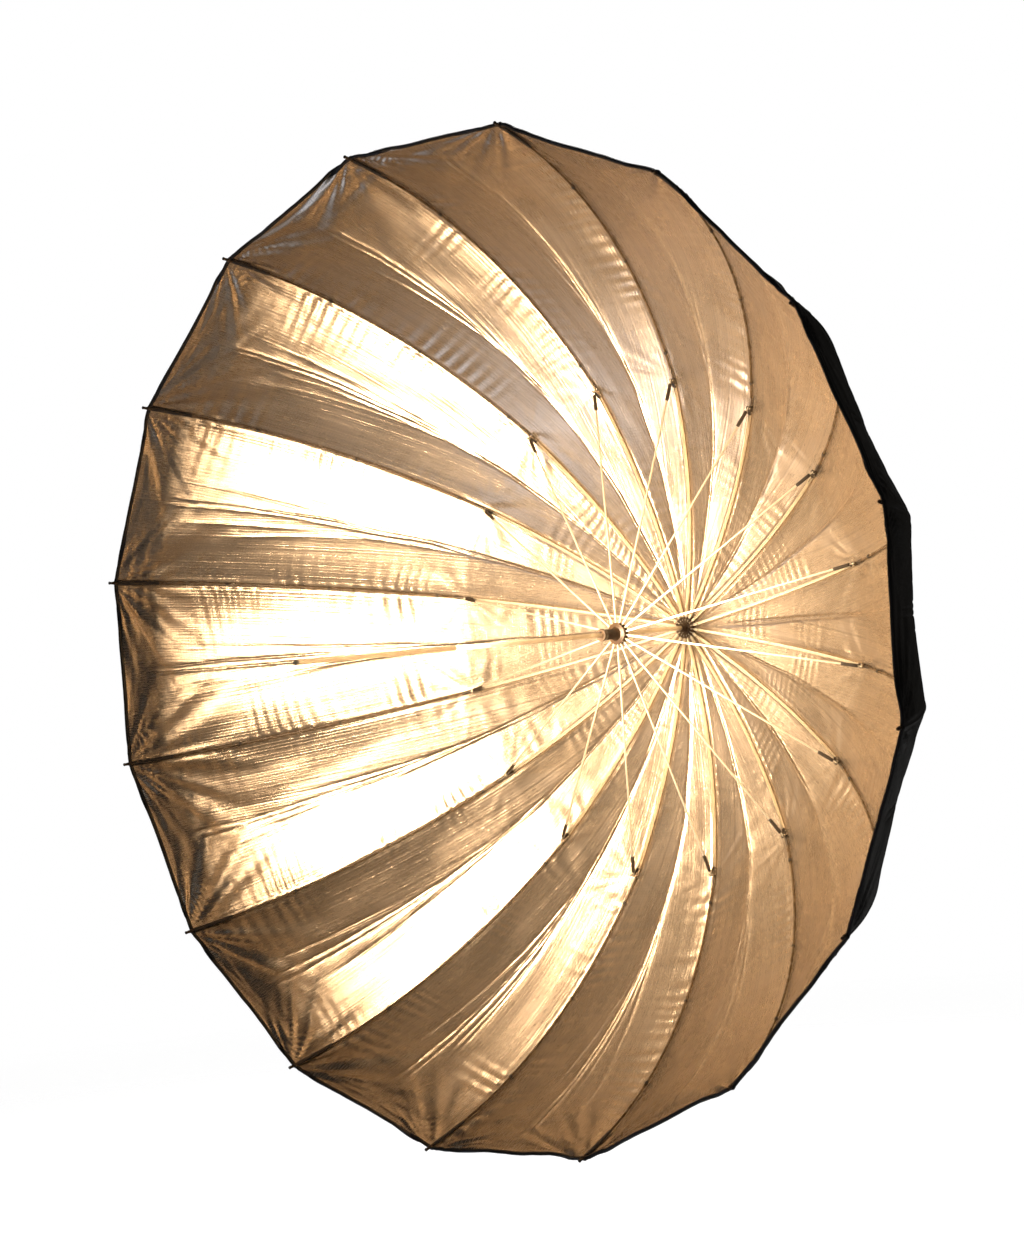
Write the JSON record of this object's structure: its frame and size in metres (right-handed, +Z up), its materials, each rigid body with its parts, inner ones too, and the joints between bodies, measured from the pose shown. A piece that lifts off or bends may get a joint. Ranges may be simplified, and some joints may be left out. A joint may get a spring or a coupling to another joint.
{
  "type": "umbrella reflector",
  "caption": "Deep folding umbrella reflector for a studio light: black-backed silver canopy on bent ribs, with stretchers, a sliding runner and a round shaft to clamp.",
  "frame": {"origin": "centre of the flat face on the plug at the shaft's free end", "axes": "+Y along the shaft from the free end to the hub; the bowl opens towards -Y; +Z up, through the middle of the top gore; +X completes the right-handed frame"},
  "size_m": [1.6286, 1.0005, 1.6286],
  "materials": {
    "bright_plated_steel": "bright plating with light wear",
    "shaft_steel": "drawn tube, fine lengthwise brushing",
    "black_fibreglass": "pultruded rod, satin black",
    "black_plastic": "moulded, fine grain",
    "silver_lining": "warm silver coated weave inside, black weave outside",
    "spring_steel": "blued spring strip"
  },
  "bodies": {
    "frame": {"shaft": "shaft_steel", "shaft_end_plug": "black_plastic", "hub": "black_plastic", "hub_pin": "bright_plated_steel", "hub_wire": "bright_plated_steel", "canopy": "silver_lining", "canopy_washer": "black_plastic", "end_cap": "black_plastic", "catch_rivet": "bright_plated_steel"},
    "rib_01": {"rib_01": "bright_plated_steel"},
    "rib_rod_01": {"rib_rod_01": "black_fibreglass"},
    "stretcher_01": {"stretcher_01": "bright_plated_steel"},
    "rib_02": {"rib_02": "bright_plated_steel"},
    "rib_rod_02": {"rib_rod_02": "black_fibreglass"},
    "stretcher_02": {"stretcher_02": "bright_plated_steel"},
    "rib_03": {"rib_03": "bright_plated_steel"},
    "rib_rod_03": {"rib_rod_03": "black_fibreglass"},
    "stretcher_03": {"stretcher_03": "bright_plated_steel"},
    "rib_04": {"rib_04": "bright_plated_steel"},
    "rib_rod_04": {"rib_rod_04": "black_fibreglass"},
    "stretcher_04": {"stretcher_04": "bright_plated_steel"},
    "rib_05": {"rib_05": "bright_plated_steel"},
    "rib_rod_05": {"rib_rod_05": "black_fibreglass"},
    "stretcher_05": {"stretcher_05": "bright_plated_steel"},
    "rib_06": {"rib_06": "bright_plated_steel"},
    "rib_rod_06": {"rib_rod_06": "black_fibreglass"},
    "stretcher_06": {"stretcher_06": "bright_plated_steel"},
    "rib_07": {"rib_07": "bright_plated_steel"},
    "rib_rod_07": {"rib_rod_07": "black_fibreglass"},
    "stretcher_07": {"stretcher_07": "bright_plated_steel"},
    "rib_08": {"rib_08": "bright_plated_steel"},
    "rib_rod_08": {"rib_rod_08": "black_fibreglass"},
    "stretcher_08": {"stretcher_08": "bright_plated_steel"},
    "rib_09": {"rib_09": "bright_plated_steel"},
    "rib_rod_09": {"rib_rod_09": "black_fibreglass"},
    "stretcher_09": {"stretcher_09": "bright_plated_steel"},
    "rib_10": {"rib_10": "bright_plated_steel"},
    "rib_rod_10": {"rib_rod_10": "black_fibreglass"},
    "stretcher_10": {"stretcher_10": "bright_plated_steel"},
    "rib_11": {"rib_11": "bright_plated_steel"},
    "rib_rod_11": {"rib_rod_11": "black_fibreglass"},
    "stretcher_11": {"stretcher_11": "bright_plated_steel"},
    "rib_12": {"rib_12": "bright_plated_steel"},
    "rib_rod_12": {"rib_rod_12": "black_fibreglass"},
    "stretcher_12": {"stretcher_12": "bright_plated_steel"},
    "rib_13": {"rib_13": "bright_plated_steel"},
    "rib_rod_13": {"rib_rod_13": "black_fibreglass"},
    "stretcher_13": {"stretcher_13": "bright_plated_steel"},
    "rib_14": {"rib_14": "bright_plated_steel"},
    "rib_rod_14": {"rib_rod_14": "black_fibreglass"},
    "stretcher_14": {"stretcher_14": "bright_plated_steel"},
    "rib_15": {"rib_15": "bright_plated_steel"},
    "rib_rod_15": {"rib_rod_15": "black_fibreglass"},
    "stretcher_15": {"stretcher_15": "bright_plated_steel"},
    "rib_16": {"rib_16": "bright_plated_steel"},
    "rib_rod_16": {"rib_rod_16": "black_fibreglass"},
    "stretcher_16": {"stretcher_16": "bright_plated_steel"},
    "runner": {"runner": "black_plastic", "runner_wire": "bright_plated_steel"},
    "catch_spring": {"catch_spring": "spring_steel"}
  },
  "joints": [
    {"name": "umbrella_fold", "type": "hinge", "parent": "frame", "child": "rib_01", "pos_m": [0.00273, 0.975, 0.01373], "axis": [0.9808, 0, -0.1951], "range_deg": [0, 71]},
    {"name": "rib_rod_01_flex", "type": "hinge", "parent": "rib_01", "child": "rib_rod_01", "pos_m": [0.08481, 0.88536, 0.42635], "axis": [-0.9808, 0, 0.1951], "range_deg": [0, 31.03]},
    {"name": "stretcher_01_hinge", "type": "hinge", "parent": "rib_01", "child": "stretcher_01", "pos_m": [0.08428, 0.88, 0.4237], "axis": [-0.9808, 0, 0.1951], "range_deg": [0, 142]},
    {"name": "rib_02_hinge", "type": "hinge", "parent": "frame", "child": "rib_02", "pos_m": [0.00778, 0.975, 0.01164], "axis": [0.8315, 0, -0.5556], "range_deg": [0, 71]},
    {"name": "rib_rod_02_flex", "type": "hinge", "parent": "rib_02", "child": "rib_rod_02", "pos_m": [0.24151, 0.88536, 0.36144], "axis": [-0.8315, 0, 0.5556], "range_deg": [0, 31.03]},
    {"name": "stretcher_02_hinge", "type": "hinge", "parent": "rib_02", "child": "stretcher_02", "pos_m": [0.24001, 0.88, 0.35919], "axis": [-0.8315, 0, 0.5556], "range_deg": [0, 142]},
    {"name": "rib_03_hinge", "type": "hinge", "parent": "frame", "child": "rib_03", "pos_m": [0.01164, 0.975, 0.00778], "axis": [0.5556, 0, -0.8315], "range_deg": [0, 71]},
    {"name": "rib_rod_03_flex", "type": "hinge", "parent": "rib_03", "child": "rib_rod_03", "pos_m": [0.36144, 0.88536, 0.24151], "axis": [-0.5556, 0, 0.8315], "range_deg": [0, 31.03]},
    {"name": "stretcher_03_hinge", "type": "hinge", "parent": "rib_03", "child": "stretcher_03", "pos_m": [0.35919, 0.88, 0.24001], "axis": [-0.5556, 0, 0.8315], "range_deg": [0, 142]},
    {"name": "rib_04_hinge", "type": "hinge", "parent": "frame", "child": "rib_04", "pos_m": [0.01373, 0.975, 0.00273], "axis": [0.1951, 0, -0.9808], "range_deg": [0, 71]},
    {"name": "rib_rod_04_flex", "type": "hinge", "parent": "rib_04", "child": "rib_rod_04", "pos_m": [0.42635, 0.88536, 0.08481], "axis": [-0.1951, 0, 0.9808], "range_deg": [0, 31.03]},
    {"name": "stretcher_04_hinge", "type": "hinge", "parent": "rib_04", "child": "stretcher_04", "pos_m": [0.4237, 0.88, 0.08428], "axis": [-0.1951, 0, 0.9808], "range_deg": [0, 142]},
    {"name": "rib_05_hinge", "type": "hinge", "parent": "frame", "child": "rib_05", "pos_m": [0.01373, 0.975, -0.00273], "axis": [-0.1951, 0, -0.9808], "range_deg": [0, 71]},
    {"name": "rib_rod_05_flex", "type": "hinge", "parent": "rib_05", "child": "rib_rod_05", "pos_m": [0.42635, 0.88536, -0.08481], "axis": [0.1951, 0, 0.9808], "range_deg": [0, 31.03]},
    {"name": "stretcher_05_hinge", "type": "hinge", "parent": "rib_05", "child": "stretcher_05", "pos_m": [0.4237, 0.88, -0.08428], "axis": [0.1951, 0, 0.9808], "range_deg": [0, 142]},
    {"name": "rib_06_hinge", "type": "hinge", "parent": "frame", "child": "rib_06", "pos_m": [0.01164, 0.975, -0.00778], "axis": [-0.5556, 0, -0.8315], "range_deg": [0, 71]},
    {"name": "rib_rod_06_flex", "type": "hinge", "parent": "rib_06", "child": "rib_rod_06", "pos_m": [0.36144, 0.88536, -0.24151], "axis": [0.5556, 0, 0.8315], "range_deg": [0, 31.03]},
    {"name": "stretcher_06_hinge", "type": "hinge", "parent": "rib_06", "child": "stretcher_06", "pos_m": [0.35919, 0.88, -0.24001], "axis": [0.5556, 0, 0.8315], "range_deg": [0, 142]},
    {"name": "rib_07_hinge", "type": "hinge", "parent": "frame", "child": "rib_07", "pos_m": [0.00778, 0.975, -0.01164], "axis": [-0.8315, 0, -0.5556], "range_deg": [0, 71]},
    {"name": "rib_rod_07_flex", "type": "hinge", "parent": "rib_07", "child": "rib_rod_07", "pos_m": [0.24151, 0.88536, -0.36144], "axis": [0.8315, 0, 0.5556], "range_deg": [0, 31.03]},
    {"name": "stretcher_07_hinge", "type": "hinge", "parent": "rib_07", "child": "stretcher_07", "pos_m": [0.24001, 0.88, -0.35919], "axis": [0.8315, 0, 0.5556], "range_deg": [0, 142]},
    {"name": "rib_08_hinge", "type": "hinge", "parent": "frame", "child": "rib_08", "pos_m": [0.00273, 0.975, -0.01373], "axis": [-0.9808, 0, -0.1951], "range_deg": [0, 71]},
    {"name": "rib_rod_08_flex", "type": "hinge", "parent": "rib_08", "child": "rib_rod_08", "pos_m": [0.08481, 0.88536, -0.42635], "axis": [0.9808, 0, 0.1951], "range_deg": [0, 31.03]},
    {"name": "stretcher_08_hinge", "type": "hinge", "parent": "rib_08", "child": "stretcher_08", "pos_m": [0.08428, 0.88, -0.4237], "axis": [0.9808, 0, 0.1951], "range_deg": [0, 142]},
    {"name": "rib_09_hinge", "type": "hinge", "parent": "frame", "child": "rib_09", "pos_m": [-0.00273, 0.975, -0.01373], "axis": [-0.9808, 0, 0.1951], "range_deg": [0, 71]},
    {"name": "rib_rod_09_flex", "type": "hinge", "parent": "rib_09", "child": "rib_rod_09", "pos_m": [-0.08481, 0.88536, -0.42635], "axis": [0.9808, 0, -0.1951], "range_deg": [0, 31.03]},
    {"name": "stretcher_09_hinge", "type": "hinge", "parent": "rib_09", "child": "stretcher_09", "pos_m": [-0.08428, 0.88, -0.4237], "axis": [0.9808, 0, -0.1951], "range_deg": [0, 142]},
    {"name": "rib_10_hinge", "type": "hinge", "parent": "frame", "child": "rib_10", "pos_m": [-0.00778, 0.975, -0.01164], "axis": [-0.8315, 0, 0.5556], "range_deg": [0, 71]},
    {"name": "rib_rod_10_flex", "type": "hinge", "parent": "rib_10", "child": "rib_rod_10", "pos_m": [-0.24151, 0.88536, -0.36144], "axis": [0.8315, 0, -0.5556], "range_deg": [0, 31.03]},
    {"name": "stretcher_10_hinge", "type": "hinge", "parent": "rib_10", "child": "stretcher_10", "pos_m": [-0.24001, 0.88, -0.35919], "axis": [0.8315, 0, -0.5556], "range_deg": [0, 142]},
    {"name": "rib_11_hinge", "type": "hinge", "parent": "frame", "child": "rib_11", "pos_m": [-0.01164, 0.975, -0.00778], "axis": [-0.5556, 0, 0.8315], "range_deg": [0, 71]},
    {"name": "rib_rod_11_flex", "type": "hinge", "parent": "rib_11", "child": "rib_rod_11", "pos_m": [-0.36144, 0.88536, -0.24151], "axis": [0.5556, 0, -0.8315], "range_deg": [0, 31.03]},
    {"name": "stretcher_11_hinge", "type": "hinge", "parent": "rib_11", "child": "stretcher_11", "pos_m": [-0.35919, 0.88, -0.24001], "axis": [0.5556, 0, -0.8315], "range_deg": [0, 142]},
    {"name": "rib_12_hinge", "type": "hinge", "parent": "frame", "child": "rib_12", "pos_m": [-0.01373, 0.975, -0.00273], "axis": [-0.1951, 0, 0.9808], "range_deg": [0, 71]},
    {"name": "rib_rod_12_flex", "type": "hinge", "parent": "rib_12", "child": "rib_rod_12", "pos_m": [-0.42635, 0.88536, -0.08481], "axis": [0.1951, 0, -0.9808], "range_deg": [0, 31.03]},
    {"name": "stretcher_12_hinge", "type": "hinge", "parent": "rib_12", "child": "stretcher_12", "pos_m": [-0.4237, 0.88, -0.08428], "axis": [0.1951, 0, -0.9808], "range_deg": [0, 142]},
    {"name": "rib_13_hinge", "type": "hinge", "parent": "frame", "child": "rib_13", "pos_m": [-0.01373, 0.975, 0.00273], "axis": [0.1951, 0, 0.9808], "range_deg": [0, 71]},
    {"name": "rib_rod_13_flex", "type": "hinge", "parent": "rib_13", "child": "rib_rod_13", "pos_m": [-0.42635, 0.88536, 0.08481], "axis": [-0.1951, 0, -0.9808], "range_deg": [0, 31.03]},
    {"name": "stretcher_13_hinge", "type": "hinge", "parent": "rib_13", "child": "stretcher_13", "pos_m": [-0.4237, 0.88, 0.08428], "axis": [-0.1951, 0, -0.9808], "range_deg": [0, 142]},
    {"name": "rib_14_hinge", "type": "hinge", "parent": "frame", "child": "rib_14", "pos_m": [-0.01164, 0.975, 0.00778], "axis": [0.5556, 0, 0.8315], "range_deg": [0, 71]},
    {"name": "rib_rod_14_flex", "type": "hinge", "parent": "rib_14", "child": "rib_rod_14", "pos_m": [-0.36144, 0.88536, 0.24151], "axis": [-0.5556, 0, -0.8315], "range_deg": [0, 31.03]},
    {"name": "stretcher_14_hinge", "type": "hinge", "parent": "rib_14", "child": "stretcher_14", "pos_m": [-0.35919, 0.88, 0.24001], "axis": [-0.5556, 0, -0.8315], "range_deg": [0, 142]},
    {"name": "rib_15_hinge", "type": "hinge", "parent": "frame", "child": "rib_15", "pos_m": [-0.00778, 0.975, 0.01164], "axis": [0.8315, 0, 0.5556], "range_deg": [0, 71]},
    {"name": "rib_rod_15_flex", "type": "hinge", "parent": "rib_15", "child": "rib_rod_15", "pos_m": [-0.24151, 0.88536, 0.36144], "axis": [-0.8315, 0, -0.5556], "range_deg": [0, 31.03]},
    {"name": "stretcher_15_hinge", "type": "hinge", "parent": "rib_15", "child": "stretcher_15", "pos_m": [-0.24001, 0.88, 0.35919], "axis": [-0.8315, 0, -0.5556], "range_deg": [0, 142]},
    {"name": "rib_16_hinge", "type": "hinge", "parent": "frame", "child": "rib_16", "pos_m": [-0.00273, 0.975, 0.01373], "axis": [0.9808, 0, 0.1951], "range_deg": [0, 71]},
    {"name": "rib_rod_16_flex", "type": "hinge", "parent": "rib_16", "child": "rib_rod_16", "pos_m": [-0.08481, 0.88536, 0.42635], "axis": [-0.9808, 0, -0.1951], "range_deg": [0, 31.03]},
    {"name": "stretcher_16_hinge", "type": "hinge", "parent": "rib_16", "child": "stretcher_16", "pos_m": [-0.08428, 0.88, 0.4237], "axis": [-0.9808, 0, -0.1951], "range_deg": [0, 142]},
    {"name": "runner_travel", "type": "hinge", "parent": "stretcher_01", "child": "runner", "pos_m": [0.00273, 0.785, 0.01373], "axis": [0.9808, 0, -0.1951], "range_deg": [0, 71]},
    {"name": "catch_press", "type": "hinge", "parent": "frame", "child": "catch_spring", "pos_m": [0, 0.6804, 0.002], "axis": [-1, 0, 0], "range_deg": [0, 2.6], "stiffness_Nm_per_rad": 0.6}
  ],
  "couplings": [
    {"joint": "rib_rod_01_flex", "follows": "umbrella_fold", "ratio": 0.437},
    {"joint": "stretcher_01_hinge", "follows": "umbrella_fold", "ratio": 2},
    {"joint": "rib_02_hinge", "follows": "umbrella_fold", "ratio": 1},
    {"joint": "rib_rod_02_flex", "follows": "umbrella_fold", "ratio": 0.437},
    {"joint": "stretcher_02_hinge", "follows": "umbrella_fold", "ratio": 2},
    {"joint": "rib_03_hinge", "follows": "umbrella_fold", "ratio": 1},
    {"joint": "rib_rod_03_flex", "follows": "umbrella_fold", "ratio": 0.437},
    {"joint": "stretcher_03_hinge", "follows": "umbrella_fold", "ratio": 2},
    {"joint": "rib_04_hinge", "follows": "umbrella_fold", "ratio": 1},
    {"joint": "rib_rod_04_flex", "follows": "umbrella_fold", "ratio": 0.437},
    {"joint": "stretcher_04_hinge", "follows": "umbrella_fold", "ratio": 2},
    {"joint": "rib_05_hinge", "follows": "umbrella_fold", "ratio": 1},
    {"joint": "rib_rod_05_flex", "follows": "umbrella_fold", "ratio": 0.437},
    {"joint": "stretcher_05_hinge", "follows": "umbrella_fold", "ratio": 2},
    {"joint": "rib_06_hinge", "follows": "umbrella_fold", "ratio": 1},
    {"joint": "rib_rod_06_flex", "follows": "umbrella_fold", "ratio": 0.437},
    {"joint": "stretcher_06_hinge", "follows": "umbrella_fold", "ratio": 2},
    {"joint": "rib_07_hinge", "follows": "umbrella_fold", "ratio": 1},
    {"joint": "rib_rod_07_flex", "follows": "umbrella_fold", "ratio": 0.437},
    {"joint": "stretcher_07_hinge", "follows": "umbrella_fold", "ratio": 2},
    {"joint": "rib_08_hinge", "follows": "umbrella_fold", "ratio": 1},
    {"joint": "rib_rod_08_flex", "follows": "umbrella_fold", "ratio": 0.437},
    {"joint": "stretcher_08_hinge", "follows": "umbrella_fold", "ratio": 2},
    {"joint": "rib_09_hinge", "follows": "umbrella_fold", "ratio": 1},
    {"joint": "rib_rod_09_flex", "follows": "umbrella_fold", "ratio": 0.437},
    {"joint": "stretcher_09_hinge", "follows": "umbrella_fold", "ratio": 2},
    {"joint": "rib_10_hinge", "follows": "umbrella_fold", "ratio": 1},
    {"joint": "rib_rod_10_flex", "follows": "umbrella_fold", "ratio": 0.437},
    {"joint": "stretcher_10_hinge", "follows": "umbrella_fold", "ratio": 2},
    {"joint": "rib_11_hinge", "follows": "umbrella_fold", "ratio": 1},
    {"joint": "rib_rod_11_flex", "follows": "umbrella_fold", "ratio": 0.437},
    {"joint": "stretcher_11_hinge", "follows": "umbrella_fold", "ratio": 2},
    {"joint": "rib_12_hinge", "follows": "umbrella_fold", "ratio": 1},
    {"joint": "rib_rod_12_flex", "follows": "umbrella_fold", "ratio": 0.437},
    {"joint": "stretcher_12_hinge", "follows": "umbrella_fold", "ratio": 2},
    {"joint": "rib_13_hinge", "follows": "umbrella_fold", "ratio": 1},
    {"joint": "rib_rod_13_flex", "follows": "umbrella_fold", "ratio": 0.437},
    {"joint": "stretcher_13_hinge", "follows": "umbrella_fold", "ratio": 2},
    {"joint": "rib_14_hinge", "follows": "umbrella_fold", "ratio": 1},
    {"joint": "rib_rod_14_flex", "follows": "umbrella_fold", "ratio": 0.437},
    {"joint": "stretcher_14_hinge", "follows": "umbrella_fold", "ratio": 2},
    {"joint": "rib_15_hinge", "follows": "umbrella_fold", "ratio": 1},
    {"joint": "rib_rod_15_flex", "follows": "umbrella_fold", "ratio": 0.437},
    {"joint": "stretcher_15_hinge", "follows": "umbrella_fold", "ratio": 2},
    {"joint": "rib_16_hinge", "follows": "umbrella_fold", "ratio": 1},
    {"joint": "rib_rod_16_flex", "follows": "umbrella_fold", "ratio": 0.437},
    {"joint": "stretcher_16_hinge", "follows": "umbrella_fold", "ratio": 2},
    {"joint": "runner_travel", "follows": "umbrella_fold", "ratio": 1}
  ]
}
